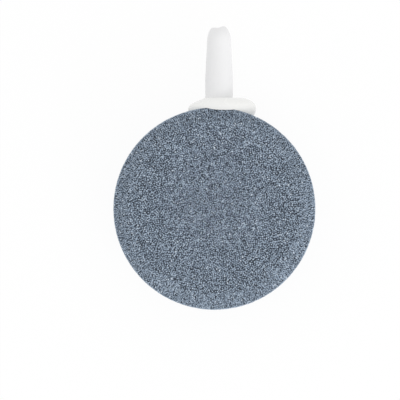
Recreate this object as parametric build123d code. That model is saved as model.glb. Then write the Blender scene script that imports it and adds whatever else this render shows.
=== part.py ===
from build123d import *
from math import radians, sqrt, tan
import os

# Air stone: a disc of bonded grit with bevelled rims, and a hose nozzle glued into its rim.
# The disc lies flat, its axis on Z and the middle of its underside at the origin.
# The nozzle points along +Y. All lengths are in millimetres and all angles in degrees.

# Disc
disc_diameter = 40.0
disc_thickness = 15.0
bevel_width = 3.0
bevel_height = 3.0

# The nozzle's axis passes a little to one side of the disc's middle
nozzle_offset = 0.93

# Both mouldings lean by this much, so that they leave their moulds
mould_draft = 0.5

# Hole moulded into the rim: a socket for the nozzle, a ledge that it seats on, and the air chamber
spigot_length = 8.0
ledge_width = 0.6
chamber_past_middle = 4.0

# Nozzle: a drafted spigot, a straight stem above the glue, a taper for the hose, and a rounded nose
stem_diameter = 5.5
straight_length = 3.8
taper_length = 7.8
neck_diameter = 4.7
nose_length = 2.3
tip_wall = 0.5
bore_diameter = 2.0
spigot_chamfer = 0.4

# The nozzle's end is snipped off its sprue, which leaves a slight dip and a lip to one side of it
snip_dip = 0.05
snip_lip = 0.28

# Glue: a thin film in the socket, and a bead round the stem that stands out further on one side
glue_film = 0.3
glue_depth = 6.5
bead_height = 2.0
long_side_reach = 4.6
long_side_top = 1.75
long_side_undercut = 0.55
short_side_reach = 3.35
short_side_top = 0.15
bead_top_depth = 0.5
bead_bevel_lap = 0.4

# How full the bead's shoulders are: a half is round, one is a sagging slope
long_side_fullness = 0.62
short_side_fullness = 1.35
face_fullness = 0.85

# Worked out from the sizes above
rim_radius = disc_diameter / 2
stem_radius = stem_diameter / 2
socket_radius = stem_radius + glue_film
tip_radius = bore_diameter / 2 + tip_wall
seat_y = rim_radius - spigot_length
stem_y = rim_radius + bead_height
taper_y = stem_y + straight_length
neck_y = taper_y + taper_length
tip_y = neck_y + nose_length
lip_y = tip_y + snip_lip
nozzle_axis = Axis((nozzle_offset, 0, disc_thickness / 2), (0, 1, 0))
nozzle_plane = Plane((nozzle_offset, 0, disc_thickness / 2))


def drafted(radius, length):
    """The radius of a moulded wall after it has leaned inwards over a length."""
    return radius - length * tan(radians(mould_draft))


def turned(section):
    """A closed section beside the nozzle's axis, turned about that axis."""
    return revolve(nozzle_plane * make_face(section), nozzle_axis)


def disc_body():
    """The disc without its hole: a section with both bevels, turned about Z."""
    flat_radius = rim_radius - bevel_width
    section = Polyline(
        (0, 0),
        (flat_radius, 0),
        (rim_radius, bevel_height),
        (rim_radius, disc_thickness - bevel_height),
        (flat_radius, disc_thickness),
        (0, disc_thickness),
        close=True,
    )
    return revolve(Plane.XZ * make_face(section), Axis.Z)


def core_pin():
    """The pin that moulds the hole: the socket, the ledge and the drafted, round-ended chamber."""
    end_y = -chamber_past_middle
    socket_end_radius = drafted(socket_radius, stem_y - seat_y)
    chamber_radius = socket_end_radius - glue_film - ledge_width
    chamber_end_radius = drafted(chamber_radius, seat_y - end_y)
    section = [
        CenterArc((0, end_y), chamber_end_radius, -90, 90),
        Line((chamber_end_radius, end_y), (chamber_radius, seat_y)),
        Line((chamber_radius, seat_y), (socket_end_radius, seat_y)),
        Line((socket_end_radius, seat_y), (socket_radius, stem_y)),
        Line((socket_radius, stem_y), (0, stem_y)),
        Line((0, stem_y), (0, end_y - chamber_end_radius)),
    ]
    return turned(section)


def snipped_end():
    """The block beyond the nozzle's cut end: flat on one side, then the dip, the lip and a slope."""
    reach = stem_radius
    top_y = tip_y + reach
    slope_y = tip_y + tip_radius - reach
    edges = [
        Line((-reach, tip_y), (-tip_radius / 2, tip_y)),
        Spline(
            (-tip_radius / 2, tip_y),
            (-tip_radius / 5, tip_y - snip_dip),
            (tip_radius * 0.65, tip_y + snip_lip),
            (tip_radius, tip_y),
            tangents=[(1, 0), (1, -1)],
        ),
        Line((tip_radius, tip_y), (reach, slope_y)),
        Line((reach, slope_y), (reach, top_y)),
        Line((reach, top_y), (-reach, top_y)),
        Line((-reach, top_y), (-reach, tip_y)),
    ]
    return extrude(nozzle_plane * make_face(edges), stem_radius, both=True)


def nozzle_body():
    """The nozzle without its bore: spigot, stem, taper and nose, turned about its own axis."""
    neck_radius = neck_diameter / 2
    chamfer_y = seat_y + spigot_chamfer
    chamfer_radius = drafted(stem_radius, stem_y - chamfer_y)
    taper = Line((stem_radius, taper_y), (neck_radius, neck_y))
    nose = TangentArc((neck_radius, neck_y), (tip_radius, tip_y), tangent=taper % 1)
    nose_end = nose % 1
    lip_radius = tip_radius + snip_lip * nose_end.X / nose_end.Y
    section = [
        Line((0, seat_y), (chamfer_radius - spigot_chamfer, seat_y)),
        Line((chamfer_radius - spigot_chamfer, seat_y), (chamfer_radius, chamfer_y)),
        Line((chamfer_radius, chamfer_y), (stem_radius, stem_y)),
        Line((stem_radius, stem_y), (stem_radius, taper_y)),
        taper,
        nose,
        Line((tip_radius, tip_y), (lip_radius, lip_y)),
        Line((lip_radius, lip_y), (0, lip_y)),
        Line((0, lip_y), (0, seat_y)),
    ]
    return turned(section)


def hose_nozzle(body):
    """The moulded nozzle, with a bore that widens by its draft, and its end snipped."""
    tip_bore_radius = bore_diameter / 2
    inner_bore_radius = 2 * tip_bore_radius - drafted(tip_bore_radius, lip_y - seat_y)
    bore = Polyline(
        (0, seat_y),
        (inner_bore_radius, seat_y),
        (tip_bore_radius, lip_y),
        (0, lip_y),
        close=True,
    )
    return body - turned(bore) - snipped_end()


def bead_section(height, shoulder):
    """One closed outline of the bead: a half ellipse to each side of the stem's axis.

    The height is measured from the rim, and the shoulder goes from 1 at the rim to 0 at the top.
    """
    undercut = long_side_undercut * (height / bead_foot()) ** 2 if height < 0 else 0
    long_spread = (long_side_reach - long_side_top) * shoulder ** long_side_fullness
    short_spread = (short_side_reach - short_side_top) * shoulder ** short_side_fullness
    long_radius = stem_radius + long_side_top + long_spread - undercut
    short_radius = stem_radius + short_side_top + short_spread
    rim_depth = disc_thickness / 2 - bevel_height + bead_bevel_lap
    top_depth = stem_radius + bead_top_depth
    depth = top_depth + (rim_depth - top_depth) * shoulder ** face_fullness
    centre = (nozzle_offset, rim_radius + height, disc_thickness / 2)
    outline = [
        EllipticalCenterArc((0, 0), long_radius, depth, -90, arc_size=180),
        EllipticalCenterArc((0, 0), short_radius, depth, 90, arc_size=180),
    ]
    return Plane(centre, x_dir=(1, 0, 0), z_dir=(0, 1, 0)) * make_face(outline)


def bead_foot():
    """How far the rim falls away from its crest at the bead's long side, as a height."""
    widest = nozzle_offset + stem_radius + long_side_reach
    return sqrt(rim_radius ** 2 - widest ** 2) - rim_radius


def glue_bead(stone, body):
    """The cured glue: a domed bead seated on the rim and its bevels, and the film in the socket."""
    sections = [bead_section(bead_foot() * share, 1) for share in (1, 0.5)]
    for share in (0, 0.3, 0.55, 0.75, 0.9, 0.98, 1):
        sections.append(bead_section(bead_height * share, 1 - share ** 2))
    dome = loft(sections)
    film_end_y = rim_radius - glue_depth
    film = Polyline(
        (0, film_end_y),
        (drafted(socket_radius, stem_y - film_end_y), film_end_y),
        (drafted(socket_radius, stem_y - rim_radius), rim_radius),
        (0, rim_radius),
        close=True,
    )
    return dome + turned(film) - stone - body


nozzle_body_solid = nozzle_body()
stone_disc_solid = disc_body() - core_pin()
hose_nozzle_solid = hose_nozzle(nozzle_body_solid)
glue_bead_solid = glue_bead(stone_disc_solid, nozzle_body_solid)

os.makedirs("parts", exist_ok=True)
export_step(stone_disc_solid, "parts/stone_disc.step")
export_step(hose_nozzle_solid, "parts/hose_nozzle.step")
export_step(glue_bead_solid, "parts/glue_bead.step")
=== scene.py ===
import math
import random

import bmesh
import bpy
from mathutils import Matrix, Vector


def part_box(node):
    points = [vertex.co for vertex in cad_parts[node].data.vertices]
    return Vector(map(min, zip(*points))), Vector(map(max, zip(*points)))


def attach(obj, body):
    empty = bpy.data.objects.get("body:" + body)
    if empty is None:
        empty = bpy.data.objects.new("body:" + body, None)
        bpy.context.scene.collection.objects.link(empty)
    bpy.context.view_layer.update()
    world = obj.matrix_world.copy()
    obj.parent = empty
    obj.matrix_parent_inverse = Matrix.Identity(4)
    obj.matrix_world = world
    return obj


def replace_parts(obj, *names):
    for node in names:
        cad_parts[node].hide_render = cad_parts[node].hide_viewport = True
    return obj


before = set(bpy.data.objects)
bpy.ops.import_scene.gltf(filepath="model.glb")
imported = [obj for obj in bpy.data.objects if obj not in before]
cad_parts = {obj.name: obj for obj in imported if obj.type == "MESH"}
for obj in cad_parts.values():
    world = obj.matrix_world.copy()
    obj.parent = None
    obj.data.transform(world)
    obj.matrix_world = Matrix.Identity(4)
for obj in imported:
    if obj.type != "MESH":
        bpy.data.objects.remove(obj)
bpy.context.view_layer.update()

# Air stone lying on a pale floor, seen straight from above with its nozzle to the top of the picture.
# Lengths are in millimetres and become metres through MM.
MM = 0.001

# The disc, read from the frame, and its bevels
disc_low, disc_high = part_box("stone_disc")
RIM_RADIUS = (disc_high.x - disc_low.x) / 2
THICKNESS = disc_high.z - disc_low.z
BEVEL = 3.0 * MM
BEVEL_ANGLE = 45.0
FLAT_RADIUS = RIM_RADIUS - BEVEL

# The nozzle's axis, read from the frame, and the hole that is moulded round it
nozzle_low, nozzle_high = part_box("hose_nozzle")
NOZZLE_X = (nozzle_low.x + nozzle_high.x) / 2
NOZZLE_Z = (nozzle_low.z + nozzle_high.z) / 2
SOCKET_RADIUS = 3.1 * MM

# Grit on the surface: how far apart the grains lie, how wide they are, and how deep their middles sit
GRAIN_SPACING = 0.31 * MM
GRAIN_WIDTH = 0.24 * MM
GRAIN_SINK = 0.15 * MM
GRAIN_SEED = 11

# Grit down in the pores, under the surface grains, and the bond below it
PORE_SPACING = 0.33 * MM
PORE_WIDTH = 0.3 * MM
PORE_SINK = 0.32 * MM
PORE_SEED = 12
BOND_SINK = 0.42 * MM
BOND_LUMP = 0.1 * MM

# A grain's shape, in grain widths: a pointed shard or a block, stretched at random, with its corners chipped
SHARD_RADIUS = 0.65
SHARD_SIDES = 5
BLOCK_SIZE = (1, 1, 1)
GRAIN_STRETCH = (0.7, 1.3)
CRUSHING = 0.16

# Each random draw for a grain has a number of its own
TONE_DRAW = 3
TURN_DRAW = 4
STRETCH_DRAW = 5
CHIP_DRAW = 6

# Tones run from 0 to 1: the bond's are the lowest, then those of the grains in the pores and on the surface.
# The low tones of the bond and of the grains in the pores are painted shade in the pores; the surface grains'
# tones are their own colour, and the ramp below holds both.
BOND_AND_SHADE_TONES = (0.0, 0.15)
PORE_SHADE_TONES = (0.14, 0.33)
GRAIN_TONES = (0.35, 1.0)
GRIT_AND_SHADE_COLOURS = [
    (0.0, (0.03, 0.038, 0.05)),
    (0.1, (0.08, 0.1, 0.13)),
    (0.3, (0.2, 0.25, 0.32)),
    (0.35, (0.252, 0.317, 0.394)),
    (0.45, (0.309, 0.384, 0.48)),
    (0.67, (0.357, 0.437, 0.537)),
    (0.9, (0.396, 0.48, 0.58)),
    (0.98, (0.49, 0.576, 0.672)),
    (1.0, (0.614, 0.682, 0.758)),
]


# Nodes


def add(tree, kind, inputs=None, **settings):
    """Adds a node with its settings. Each input is given a plain value, or a socket that is linked to it."""
    made = tree.nodes.new(kind)
    for name, value in settings.items():
        setattr(made, name, value)
    for name, value in (inputs or {}).items():
        if isinstance(value, bpy.types.NodeSocket):
            tree.links.new(value, made.inputs[name])
        else:
            made.inputs[name].default_value = value
    return made


def maths(tree, operation, *values):
    """A sum on numbers, as the socket that holds its result."""
    return add(tree, "ShaderNodeMath", dict(enumerate(values)), operation=operation).outputs[0]


def vectors(tree, operation, *values):
    """A sum on vectors, as the node that holds its results."""
    return add(tree, "ShaderNodeVectorMath", dict(enumerate(values)), operation=operation)


def scaled(tree, vector, factor):
    """A vector times a number."""
    inputs = {"Vector": vector, "Scale": factor}
    return add(tree, "ShaderNodeVectorMath", inputs, operation="SCALE").outputs[0]


def random_vector(tree, low, high, seed):
    """A random vector between two corners, for each point."""
    inputs = {"Min": (low,) * 3, "Max": (high,) * 3, "Seed": seed}
    return add(tree, "FunctionNodeRandomValue", inputs, data_type="FLOAT_VECTOR").outputs["Value"]


def random_number(tree, low, high, seed):
    """A random number between two others, for each point."""
    inputs = {"Min": low, "Max": high, "Seed": seed}
    return add(tree, "FunctionNodeRandomValue", inputs, data_type="FLOAT").outputs["Value"]


def stored(tree, geometry, name, value, data_type, domain):
    """The geometry with a value written on it under a name."""
    inputs = {"Geometry": geometry, "Name": name, "Value": value}
    made = add(tree, "GeometryNodeStoreNamedAttribute", inputs, data_type=data_type, domain=domain)
    return made.outputs["Geometry"]


def read_back(tree, name, data_type):
    """A value that was written on the geometry before."""
    made = add(tree, "GeometryNodeInputNamedAttribute", {"Name": name}, data_type=data_type)
    return made.outputs["Attribute"]


def new_tree(name, kind, inputs, outputs):
    """A node tree with named sockets: inputs as (name, socket type, value), and outputs as the first two."""
    tree = bpy.data.node_groups.new(name, kind)
    for label, socket_type, value in inputs:
        socket = tree.interface.new_socket(label, in_out="INPUT", socket_type=socket_type)
        if value is not None:
            socket.default_value = value
    for label, socket_type in outputs:
        tree.interface.new_socket(label, in_out="OUTPUT", socket_type=socket_type)
    return tree, tree.nodes.new("NodeGroupInput").outputs, tree.nodes.new("NodeGroupOutput").inputs


def ramp(tree, value, stops):
    """A colour for each value, between the given (value, colour) stops."""
    made = add(tree, "ShaderNodeValToRGB", {"Fac": value})
    elements = made.color_ramp.elements
    elements.remove(elements[1])
    elements[0].position = stops[0][0]
    elements[0].color = (*stops[0][1], 1)
    for position, colour in stops[1:]:
        elements.new(position).color = (*colour, 1)
    return made.outputs["Color"]


# Pieces


def new_piece(name, mesh, material):
    """Puts a finished mesh in its place in the scene, as a piece of the object."""
    piece = bpy.data.objects.new(name, mesh)
    bpy.context.scene.collection.objects.link(piece)
    mesh.materials.clear()
    mesh.materials.append(material)
    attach(piece, "root")
    return piece


def dress(node, material):
    """Gives a CAD node its finish."""
    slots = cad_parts[node].data.materials
    slots.clear()
    slots.append(material)


# Finishes of the grit


def grit_tone_group():
    """Colour and roughness of grit of a given tone, with fine flecks in it."""
    inputs = [
        ("Tone", "NodeSocketFloat", 0.5),
        ("Fleck Scale", "NodeSocketFloat", 9000.0),
        ("Fleck", "NodeSocketFloat", 0.1),
    ]
    outputs = [("Color", "NodeSocketColor"), ("Roughness", "NodeSocketFloat")]
    tree, given, result = new_tree("Grit Tone", "ShaderNodeTree", inputs, outputs)
    place = add(tree, "ShaderNodeTexCoord").outputs["Object"]
    flecks = add(tree, "ShaderNodeTexNoise", {"Vector": place, "Scale": given["Fleck Scale"], "Detail": 2.0})
    centred = maths(tree, "SUBTRACT", flecks.outputs["Fac"], 0.5)
    tone = maths(tree, "MULTIPLY_ADD", centred, given["Fleck"], given["Tone"])
    tree.links.new(ramp(tree, tone, GRIT_AND_SHADE_COLOURS), result["Color"])
    gloss = add(tree, "ShaderNodeMapRange", {"Value": tone, "To Min": 0.7, "To Max": 0.35})
    tree.links.new(gloss.outputs["Result"], result["Roughness"])
    return tree


def new_material(name):
    """A new material, its tree and its Principled shader."""
    material = bpy.data.materials.new(name)
    material.use_nodes = True
    return material, material.node_tree, material.node_tree.nodes["Principled BSDF"]


def grain_finish(grit_tone):
    """Glassy grains of crushed grit, each with a tone of its own."""
    material, tree, shader = new_material("bonded_grit_grains")
    tone = add(tree, "ShaderNodeAttribute", attribute_name="grain_tone_and_shade").outputs["Fac"]
    grit = add(tree, "ShaderNodeGroup", {"Tone": tone}, node_tree=grit_tone)
    tree.links.new(grit.outputs["Color"], shader.inputs["Base Color"])
    tree.links.new(grit.outputs["Roughness"], shader.inputs["Roughness"])
    return material


def bond_and_shade_finish(grit_tone):
    """The fired bond at the bottom of the pores, lumpy with the grains that it holds. Its mottling is its
    own; its darkness is painted shade in the pores.
    """
    material, tree, shader = new_material("bonded_grit_bond_and_painted_shade")
    place = add(tree, "ShaderNodeTexCoord").outputs["Object"]
    cells = add(tree, "ShaderNodeTexVoronoi", {"Vector": place, "Scale": 1 / PORE_SPACING})
    # The bond's low tones are painted shade at the bottom of the pores
    darkest, palest = BOND_AND_SHADE_TONES
    reach = {"Value": cells.outputs["Color"], "To Min": darkest, "To Max": palest}
    tone = add(tree, "ShaderNodeMapRange", reach)
    grit = add(tree, "ShaderNodeGroup", {"Tone": tone.outputs["Result"]}, node_tree=grit_tone)
    tree.links.new(grit.outputs["Color"], shader.inputs["Base Color"])
    tree.links.new(grit.outputs["Roughness"], shader.inputs["Roughness"])
    bump = add(tree, "ShaderNodeBump", {"Height": cells.outputs["Distance"], "Distance": BOND_LUMP})
    tree.links.new(bump.outputs["Normal"], shader.inputs["Normal"])
    return material


# Finishes of the white pieces


def cloudy_white_group():
    """White plastic or glue: faint clouds, uneven gloss and a rippled skin."""
    inputs = [
        ("Color", "NodeSocketColor", (0.85, 0.85, 0.85, 1)),
        ("Cloud Color", "NodeSocketColor", (0.8, 0.8, 0.8, 1)),
        ("Cloud Scale", "NodeSocketFloat", 400.0),
        ("Gloss Low", "NodeSocketFloat", 0.25),
        ("Gloss High", "NodeSocketFloat", 0.4),
        ("Ripple Scale", "NodeSocketFloat", 1500.0),
    ]
    outputs = [("Color", "NodeSocketColor"), ("Roughness", "NodeSocketFloat"), ("Height", "NodeSocketFloat")]
    tree, given, result = new_tree("Cloudy White", "ShaderNodeTree", inputs, outputs)
    place = add(tree, "ShaderNodeTexCoord").outputs["Object"]
    clouds = add(tree, "ShaderNodeTexNoise", {"Vector": place, "Scale": given["Cloud Scale"], "Detail": 3.0})
    mixed = add(tree, "ShaderNodeMix", {"Factor": clouds.outputs["Fac"]}, data_type="RGBA")
    tree.links.new(given["Color"], mixed.inputs["A"])
    tree.links.new(given["Cloud Color"], mixed.inputs["B"])
    tree.links.new(mixed.outputs["Result"], result["Color"])
    ripple_scale = given["Ripple Scale"]
    ripples = add(tree, "ShaderNodeTexNoise", {"Vector": place, "Scale": ripple_scale, "Detail": 2.0})
    gloss = add(tree, "ShaderNodeMapRange", {"Value": ripples.outputs["Fac"]})
    tree.links.new(given["Gloss Low"], gloss.inputs["To Min"])
    tree.links.new(given["Gloss High"], gloss.inputs["To Max"])
    tree.links.new(gloss.outputs["Result"], result["Roughness"])
    tree.links.new(ripples.outputs["Fac"], result["Height"])
    return tree


def cloudy_material(name, group, values, ripple_depth):
    """A material whose colour, gloss and ripples come from the Cloudy White group."""
    material, tree, shader = new_material(name)
    white = add(tree, "ShaderNodeGroup", node_tree=group)
    for label, value in values.items():
        white.inputs[label].default_value = value
    tree.links.new(white.outputs["Color"], shader.inputs["Base Color"])
    tree.links.new(white.outputs["Roughness"], shader.inputs["Roughness"])
    bump = add(tree, "ShaderNodeBump", {"Height": white.outputs["Height"], "Distance": ripple_depth})
    tree.links.new(bump.outputs["Normal"], shader.inputs["Normal"])
    return material


def nozzle_finish(group):
    """Moulded white plastic, satin, with a very fine ripple."""
    values = {
        "Color": (0.835, 0.835, 0.84, 1),
        "Cloud Color": (0.815, 0.815, 0.82, 1),
        "Cloud Scale": 350.0,
        "Ripple Scale": 2200.0,
    }
    return cloudy_material("nozzle_plastic", group, values, ripple_depth=0.006 * MM)


def glue_finish(group):
    """Cured white glue: smooth and a little warmer than the plastic."""
    values = {
        "Color": (0.92, 0.92, 0.905, 1),
        "Cloud Color": (0.9, 0.9, 0.88, 1),
        "Cloud Scale": 500.0,
        "Gloss Low": 0.2,
        "Gloss High": 0.32,
        "Ripple Scale": 700.0,
    }
    return cloudy_material("cured_glue", group, values, ripple_depth=0.03 * MM)


# The disc: its bond, and a skin of grains on it

# The disc's surfaces from its underside up, one for each stretch of its profile
REGIONS = ["lower_face", "lower_bevel", "rim", "upper_bevel", "upper_face"]

# How finely the wall under the grains is divided, round the disc and along its profile
WALL_STEPS = 128
WALL_RING_WIDTH = 0.8 * MM

# How close the CAD disc's doubled points lie, and how near its faces a point counts as being on them
MERGE_DISTANCE = 0.001 * MM
FACE_TOLERANCE = 0.01 * MM

# How many points are tried for each square of the spacing, before those too close to another are dropped
CANDIDATES = 6.0


def edge_shift(sink):
    """How far a bevel's edge moves along the surface beside it when both sink by an even amount."""
    return sink * math.tan(math.radians(BEVEL_ANGLE / 2))


def disc_profile(sink):
    """The disc's section as (radius, height), sunk below the mould's wall by an even amount."""
    edge = edge_shift(sink)
    flat = FLAT_RADIUS - edge
    rim = RIM_RADIUS - sink
    return [
        (0, sink),
        (flat, sink),
        (rim, BEVEL + edge),
        (rim, THICKNESS - BEVEL - edge),
        (flat, THICKNESS - sink),
        (0, THICKNESS - sink),
    ]


def mould_wall():
    """The surface that the grains' middles lie on, turned about Z, with its region written on each face.

    The faces come in a shuffled order, because the scattering goes through them in turn.
    """
    bm = bmesh.new()
    region = bm.faces.layers.int.new("region")

    def ring(radius, height):
        steps = WALL_STEPS if radius else 1
        turns = [math.tau * k / steps for k in range(steps)]
        return [bm.verts.new((radius * math.cos(t), radius * math.sin(t), height)) for t in turns]

    profile = [Vector(point) for point in disc_profile(GRAIN_SINK)]
    rings = [ring(*profile[0])]
    regions = []
    for number, (start, end) in enumerate(zip(profile, profile[1:])):
        count = math.ceil((end - start).length / WALL_RING_WIDTH)
        rings += [ring(*start.lerp(end, (k + 1) / count)) for k in range(count)]
        regions += [number] * count
    patches = [(row, k) for row in range(len(regions)) for k in range(WALL_STEPS)]
    random.Random(GRAIN_SEED).shuffle(patches)
    for row, k in patches:
        below, above = rings[row], rings[row + 1]
        low = [below[(k + 1) % len(below)], below[k % len(below)]]
        high = [above[k % len(above)], above[(k + 1) % len(above)]]
        face = bm.faces.new(dict.fromkeys(low + high))
        face[region] = regions[row]
    bmesh.ops.recalc_face_normals(bm, faces=bm.faces)
    mesh = bpy.data.meshes.new("mould_wall")
    bm.to_mesh(mesh)
    bm.free()
    return mesh


def stone_bond(material):
    """The bond: a copy of the CAD disc with its outside sunk under the grains, and its moulded hole kept."""
    bm = bmesh.new()
    bm.from_mesh(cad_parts["stone_disc"].data)
    bmesh.ops.remove_doubles(bm, verts=bm.verts, dist=MERGE_DISTANCE)
    edge = edge_shift(BOND_SINK)
    middle = THICKNESS / 2
    for vert in bm.verts:
        if math.hypot(vert.co.x - NOZZLE_X, vert.co.z - NOZZLE_Z) < SOCKET_RADIUS:
            continue
        radius = math.hypot(vert.co.x, vert.co.y)
        height = vert.co.z - middle
        on_face = abs(height) > middle - FACE_TOLERANCE
        inwards = edge * radius / FLAT_RADIUS if on_face else BOND_SINK
        levelled = BOND_SINK if on_face else edge * abs(height) / (middle - BEVEL)
        vert.co.x *= 1 - inwards / max(radius, MM)
        vert.co.y *= 1 - inwards / max(radius, MM)
        vert.co.z -= math.copysign(levelled, height)
    mesh = bpy.data.meshes.new("stone_bond")
    bm.to_mesh(mesh)
    bm.free()
    mesh.shade_flat()
    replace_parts(new_piece("stone_bond", mesh, material), "stone_disc")


def scattered_points(tree, given, layer, tones):
    """Points for one layer of grains: over one region of the wall, at least the layer's spacing apart.

    Each has a tone and a width of its own, and none lies in the socket's mouth. The pore layer's low tones
    are painted shade.
    """
    spacing = given[layer + " Spacing"]
    density = maths(tree, "DIVIDE", CANDIDATES, maths(tree, "MULTIPLY", spacing, spacing))
    spread = add(
        tree,
        "GeometryNodeDistributePointsOnFaces",
        {
            "Mesh": given["Wall"],
            "Distance Min": spacing,
            "Density Max": density,
            "Seed": given[layer + " Seed"],
        },
        distribute_method="POISSON",
    )
    region = read_back(tree, "region", "INT")
    elsewhere = add(
        tree,
        "FunctionNodeCompare",
        {"A": region, "B": given["Region"]},
        data_type="INT",
        operation="NOT_EQUAL",
    ).outputs["Result"]
    place = add(tree, "GeometryNodeInputPosition").outputs["Position"]
    mouth = (NOZZLE_X, RIM_RADIUS, NOZZLE_Z)
    from_mouth = vectors(tree, "LENGTH", vectors(tree, "SUBTRACT", place, mouth).outputs[0]).outputs["Value"]
    in_mouth = maths(tree, "LESS_THAN", from_mouth, SOCKET_RADIUS)
    dropped = maths(tree, "ADD", elsewhere, in_mouth)
    kept = add(
        tree,
        "GeometryNodeDeleteGeometry",
        {"Geometry": spread.outputs["Points"], "Selection": dropped},
        domain="POINT",
    ).outputs["Geometry"]
    deeper = maths(tree, "SUBTRACT", given["Grain Sink"], given[layer + " Sink"])
    offset = scaled(tree, spread.outputs["Normal"], deeper)
    sunk = add(tree, "GeometryNodeSetPosition", {"Geometry": kept, "Offset": offset}).outputs["Geometry"]
    toned = stored(tree, sunk, "grain_tone_and_shade", random_number(tree, *tones, TONE_DRAW), "FLOAT", "POINT")
    return stored(tree, toned, "grain_width", given[layer + " Width"], "FLOAT", "POINT")


def unfolded_by_grain(tree, grains, points):
    """The grains with a map on which each one unfolds in a square of its own."""
    size = add(tree, "GeometryNodeAttributeDomainSize", {"Geometry": points}, component="POINTCLOUD")
    columns = maths(tree, "CEIL", maths(tree, "SQRT", size.outputs["Point Count"]))
    number = read_back(tree, "grain_number", "INT")
    column = maths(tree, "MODULO", number, columns)
    row = maths(tree, "FLOOR", maths(tree, "DIVIDE", number, columns))
    square = add(tree, "ShaderNodeCombineXYZ", {"X": column, "Y": row}).outputs[0]
    own_map = read_back(tree, "OFBake", "FLOAT_VECTOR")
    placed = vectors(tree, "ADD", square, own_map).outputs[0]
    whole = scaled(tree, placed, maths(tree, "DIVIDE", 1.0, columns))
    return stored(tree, grains, "OFBake", whole, "FLOAT2", "CORNER")


def pressed_into_mould(tree, grains, given):
    """The grains with what would pass the mould's wall pressed flat against it."""
    place = add(tree, "GeometryNodeInputPosition").outputs["Position"]
    normal = add(tree, "GeometryNodeInputNormal").outputs["Normal"]
    facing = add(
        tree,
        "GeometryNodeSampleNearestSurface",
        {"Mesh": given["Wall"], "Value": normal},
        data_type="FLOAT_VECTOR",
    ).outputs["Value"]
    nearest = add(tree, "GeometryNodeProximity", {"Geometry": given["Wall"]}).outputs["Position"]
    away = vectors(tree, "SUBTRACT", place, nearest).outputs[0]
    height = vectors(tree, "DOT_PRODUCT", away, facing).outputs["Value"]
    passing = maths(tree, "MAXIMUM", maths(tree, "SUBTRACT", height, given["Grain Sink"]), 0.0)
    push = scaled(tree, facing, maths(tree, "MULTIPLY", passing, -1.0))
    pressed = add(tree, "GeometryNodeSetPosition", {"Geometry": grains, "Offset": push})
    return pressed.outputs["Geometry"]


def grit_skin_tree():
    """Crushed grains in two layers over a wall, stretched and turned at random and pressed into the mould."""
    inputs = [
        ("Wall", "NodeSocketGeometry", None),
        ("Region", "NodeSocketInt", 0),
        ("Grain Spacing", "NodeSocketFloat", GRAIN_SPACING),
        ("Grain Width", "NodeSocketFloat", GRAIN_WIDTH),
        ("Grain Sink", "NodeSocketFloat", GRAIN_SINK),
        ("Pore Spacing", "NodeSocketFloat", PORE_SPACING),
        ("Pore Width", "NodeSocketFloat", PORE_WIDTH),
        ("Pore Sink", "NodeSocketFloat", PORE_SINK),
        ("Crushing", "NodeSocketFloat", CRUSHING),
        ("Grain Seed", "NodeSocketInt", GRAIN_SEED),
        ("Pore Seed", "NodeSocketInt", PORE_SEED),
        ("Grit", "NodeSocketMaterial", None),
    ]
    outputs = [("Grains", "NodeSocketGeometry")]
    tree, given, result = new_tree("Grit Skin", "GeometryNodeTree", inputs, outputs)

    both = add(tree, "GeometryNodeJoinGeometry")
    tree.links.new(scattered_points(tree, given, "Grain", GRAIN_TONES), both.inputs["Geometry"])
    # The grains in the pores take low tones: painted shade, as they lie in shade under the surface grains
    tree.links.new(scattered_points(tree, given, "Pore", PORE_SHADE_TONES), both.inputs["Geometry"])
    index = add(tree, "GeometryNodeInputIndex").outputs["Index"]
    points = stored(tree, both.outputs["Geometry"], "grain_number", index, "INT", "POINT")

    shapes = add(tree, "GeometryNodeGeometryToInstance")
    for primitive in (
        add(tree, "GeometryNodeMeshUVSphere", {"Radius": SHARD_RADIUS, "Segments": SHARD_SIDES, "Rings": 2}),
        add(tree, "GeometryNodeMeshCube", {"Size": BLOCK_SIZE}),
    ):
        own_map = primitive.outputs["UV Map"]
        shape = stored(tree, primitive.outputs["Mesh"], "OFBake", own_map, "FLOAT2", "CORNER")
        tree.links.new(shape, shapes.inputs["Geometry"])
    euler = random_vector(tree, -math.pi, math.pi, TURN_DRAW)
    turn = add(tree, "FunctionNodeEulerToRotation", {"Euler": euler})
    width = read_back(tree, "grain_width", "FLOAT")
    size = scaled(tree, random_vector(tree, *GRAIN_STRETCH, STRETCH_DRAW), width)
    placed = add(
        tree,
        "GeometryNodeInstanceOnPoints",
        {
            "Points": points,
            "Instance": shapes.outputs["Instances"],
            "Pick Instance": True,
            "Rotation": turn.outputs[0],
            "Scale": size,
        },
    )
    grains = add(tree, "GeometryNodeRealizeInstances", {"Geometry": placed.outputs["Instances"]}).outputs[0]

    corner = random_vector(tree, -1.0, 1.0, CHIP_DRAW)
    chip = scaled(tree, corner, maths(tree, "MULTIPLY", given["Crushing"], width))
    grains = add(tree, "GeometryNodeSetPosition", {"Geometry": grains, "Offset": chip}).outputs["Geometry"]
    grains = pressed_into_mould(tree, grains, given)
    grains = unfolded_by_grain(tree, grains, points)
    grains = add(tree, "GeometryNodeSetShadeSmooth", {"Geometry": grains, "Shade Smooth": False}).outputs[0]
    grains = add(tree, "GeometryNodeSetMaterial", {"Geometry": grains, "Material": given["Grit"]}).outputs[0]
    tree.links.new(grains, result["Grains"])
    return tree


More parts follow.
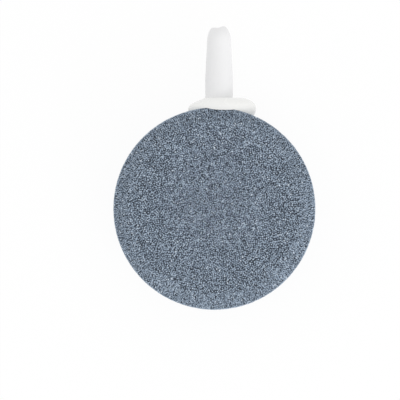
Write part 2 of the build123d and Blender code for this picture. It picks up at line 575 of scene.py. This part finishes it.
def grit_pieces(tree, material):
    """One piece of grains for each region of the disc's surface."""
    wall = mould_wall()
    sockets = {item.name: item.identifier for item in tree.interface.items_tree if item.in_out == "INPUT"}
    for number, region in enumerate(REGIONS):
        carrier = bpy.data.objects.new("wall_" + region, wall)
        bpy.context.scene.collection.objects.link(carrier)
        skin = carrier.modifiers.new("grit_skin", "NODES")
        skin.node_group = tree
        skin[sockets["Region"]] = number
        skin[sockets["Grit"]] = material
        shown = carrier.evaluated_get(bpy.context.evaluated_depsgraph_get())
        mesh = bpy.data.meshes.new_from_object(shown)
        bpy.data.objects.remove(carrier)
        mesh.name = "grit_" + region
        new_piece(mesh.name, mesh, material)


# The floor, the light and the camera

PIXELS_PER_MM = 5.06
FRAME_PIXELS = 400
DISC_MIDDLE_PIXEL = (214.4, 208.75)
LENS = 500.0
SENSOR = 36.0
FLOOR_TONE = 0.92
FLOOR_DROP = 0.05 * MM
FLOOR_HALF_WIDTH = 1.5
FLOOR_GLOW_SHARE = 0.94
SKY_STRENGTH = 0.95
SIDE_BOX_PLACE = (0.37, -0.52, 0.3)
SIDE_BOX_SIZE = 0.4
SIDE_BOX_POWER = 1.6


def seen_ray(tree):
    """One for rays that show a surface to the camera, straight or by reflection, and zero for others."""
    ray = add(tree, "ShaderNodeLightPath").outputs
    either = maths(tree, "MAXIMUM", ray["Is Camera Ray"], ray["Is Glossy Ray"])
    return maths(tree, "MAXIMUM", either, ray["Is Transmission Ray"])


def floor():
    """A wide pale floor that shows white to the camera and keeps a faint shadow."""
    half = FLOOR_HALF_WIDTH
    corners = [(x, y, -FLOOR_DROP) for x, y in ((-half, -half), (half, -half), (half, half), (-half, half))]
    mesh = bpy.data.meshes.new("floor")
    mesh.from_pydata(corners, [], [(0, 1, 2, 3)])
    sheet = bpy.data.objects.new("floor", mesh)
    bpy.context.scene.collection.objects.link(sheet)
    material, tree, shader = new_material("floor_white")
    shader.inputs["Base Color"].default_value = (FLOOR_TONE, FLOOR_TONE, FLOOR_TONE, 1)
    shader.inputs["Roughness"].default_value = 1.0
    shader.inputs["Specular IOR Level"].default_value = 0.0
    glow = add(tree, "ShaderNodeEmission", {"Strength": 1.0})
    share = maths(tree, "MULTIPLY", seen_ray(tree), FLOOR_GLOW_SHARE)
    both = add(tree, "ShaderNodeMixShader", {0: share, 1: shader.outputs[0], 2: glow.outputs[0]})
    tree.links.new(both.outputs[0], tree.nodes["Material Output"].inputs["Surface"])
    mesh.materials.append(material)


def soft_box(name, place, size, power):
    """A square soft box that faces the object."""
    lamp = bpy.data.lights.new(name, "AREA")
    lamp.size = size
    lamp.energy = power
    box = bpy.data.objects.new(name, lamp)
    box.location = place
    box.rotation_euler = (-Vector(place)).to_track_quat("-Z", "Y").to_euler()
    bpy.context.scene.collection.objects.link(box)


def light():
    """An even white sky, and one soft box from the lower right of the picture."""
    world = bpy.data.worlds.new("studio")
    bpy.context.scene.world = world
    world.use_nodes = True
    tree = world.node_tree
    sky = tree.nodes["Background"]
    sky.inputs["Color"].default_value = (1, 1, 1, 1)
    strength = add(tree, "ShaderNodeMapRange", {"Value": seen_ray(tree), "To Min": SKY_STRENGTH})
    tree.links.new(strength.outputs["Result"], sky.inputs["Strength"])
    soft_box("side_box", SIDE_BOX_PLACE, SIDE_BOX_SIZE, SIDE_BOX_POWER)


def camera():
    """Straight above, with the nozzle to the top, framed as the photograph is."""
    lens = bpy.data.cameras.new("camera")
    lens.lens = LENS
    lens.sensor_width = SENSOR
    lens.clip_start = 0.01
    lens.clip_end = 10
    eye = bpy.data.objects.new("camera", lens)
    bpy.context.scene.collection.objects.link(eye)
    width = FRAME_PIXELS / PIXELS_PER_MM * MM
    outline_height = THICKNESS - BEVEL
    across = (FRAME_PIXELS / 2 - DISC_MIDDLE_PIXEL[0]) / PIXELS_PER_MM * MM
    along = (DISC_MIDDLE_PIXEL[1] - FRAME_PIXELS / 2) / PIXELS_PER_MM * MM
    eye.location = (across, along, outline_height + width * LENS / SENSOR)
    bpy.context.scene.camera = eye


bpy.context.scene.view_settings.view_transform = "Standard"
floor()
light()
camera()

grit_tone = grit_tone_group()
stone_bond(bond_and_shade_finish(grit_tone))
grit_pieces(grit_skin_tree(), grain_finish(grit_tone))
cloudy_white = cloudy_white_group()
dress("hose_nozzle", nozzle_finish(cloudy_white))
dress("glue_bead", glue_finish(cloudy_white))
